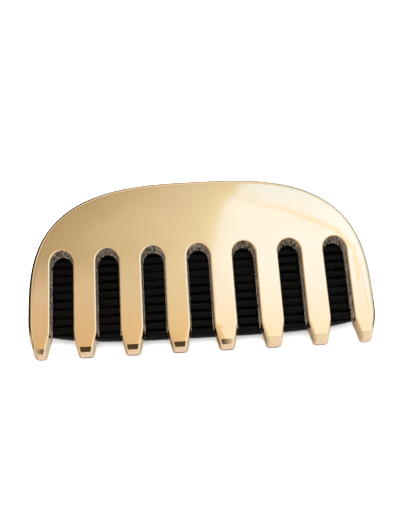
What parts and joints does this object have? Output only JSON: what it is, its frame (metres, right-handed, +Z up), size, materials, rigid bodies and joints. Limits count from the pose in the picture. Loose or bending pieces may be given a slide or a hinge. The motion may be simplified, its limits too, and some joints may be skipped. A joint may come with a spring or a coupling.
{
  "type": "alligator hair clip",
  "caption": "Comb-faced alligator hair clip: a polished toothed plate sprung shut against a broad jaw with a ribbed grip pad, opened by a thumb lever behind the spine.",
  "frame": {"origin": "middle of the footprint, on the surface the clip lies on", "axes": "+X across the clip, +Y from the tooth tips towards the spine and thumb lever, +Z up; the comb plate's front faces up and leans 12.5 degrees towards -Y"},
  "size_m": [0.0648, 0.04, 0.0124],
  "materials": {
    "gold_plate": "polished gold plate on a casting",
    "nickel_sheet": "satin nickel plate on pressed steel",
    "nickel_pin": "bright nickel plate",
    "spring_wire": "drawn spring wire",
    "sleeve_plastic": "moulded nylon",
    "pad_rubber": "ribbed black rubber, soft sheen",
    "grip_rubber": "matte black rubber with ribs"
  },
  "bodies": {
    "jaw": {"jaw_plate": "nickel_sheet", "grip_pad": "pad_rubber", "thumb_lever": "nickel_sheet", "lever_rivet_1": "nickel_pin", "lever_rivet_2": "nickel_pin", "lever_rivet_3": "nickel_pin", "thumb_grip": "grip_rubber"},
    "comb": {"comb_plate": "gold_plate", "hinge_bracket": "nickel_sheet", "bracket_rivet_1": "nickel_pin", "bracket_rivet_2": "nickel_pin", "bracket_rivet_3": "nickel_pin", "bracket_rivet_4": "nickel_pin", "hinge_pin": "nickel_pin", "pin_collar": "nickel_pin", "spring_sleeve": "sleeve_plastic", "spring_left": "spring_wire", "spring_right": "spring_wire"}
  },
  "joints": [
    {"name": "comb_hinge", "type": "hinge", "parent": "jaw", "child": "comb", "pos_m": [0, 0.00701, 0.0038], "axis": [-1, 0, 0], "range_deg": [0, 35], "stiffness_Nm_per_rad": 0.09, "springref_deg": -42.97, "deforming": ["spring_left", "spring_right"]}
  ]
}
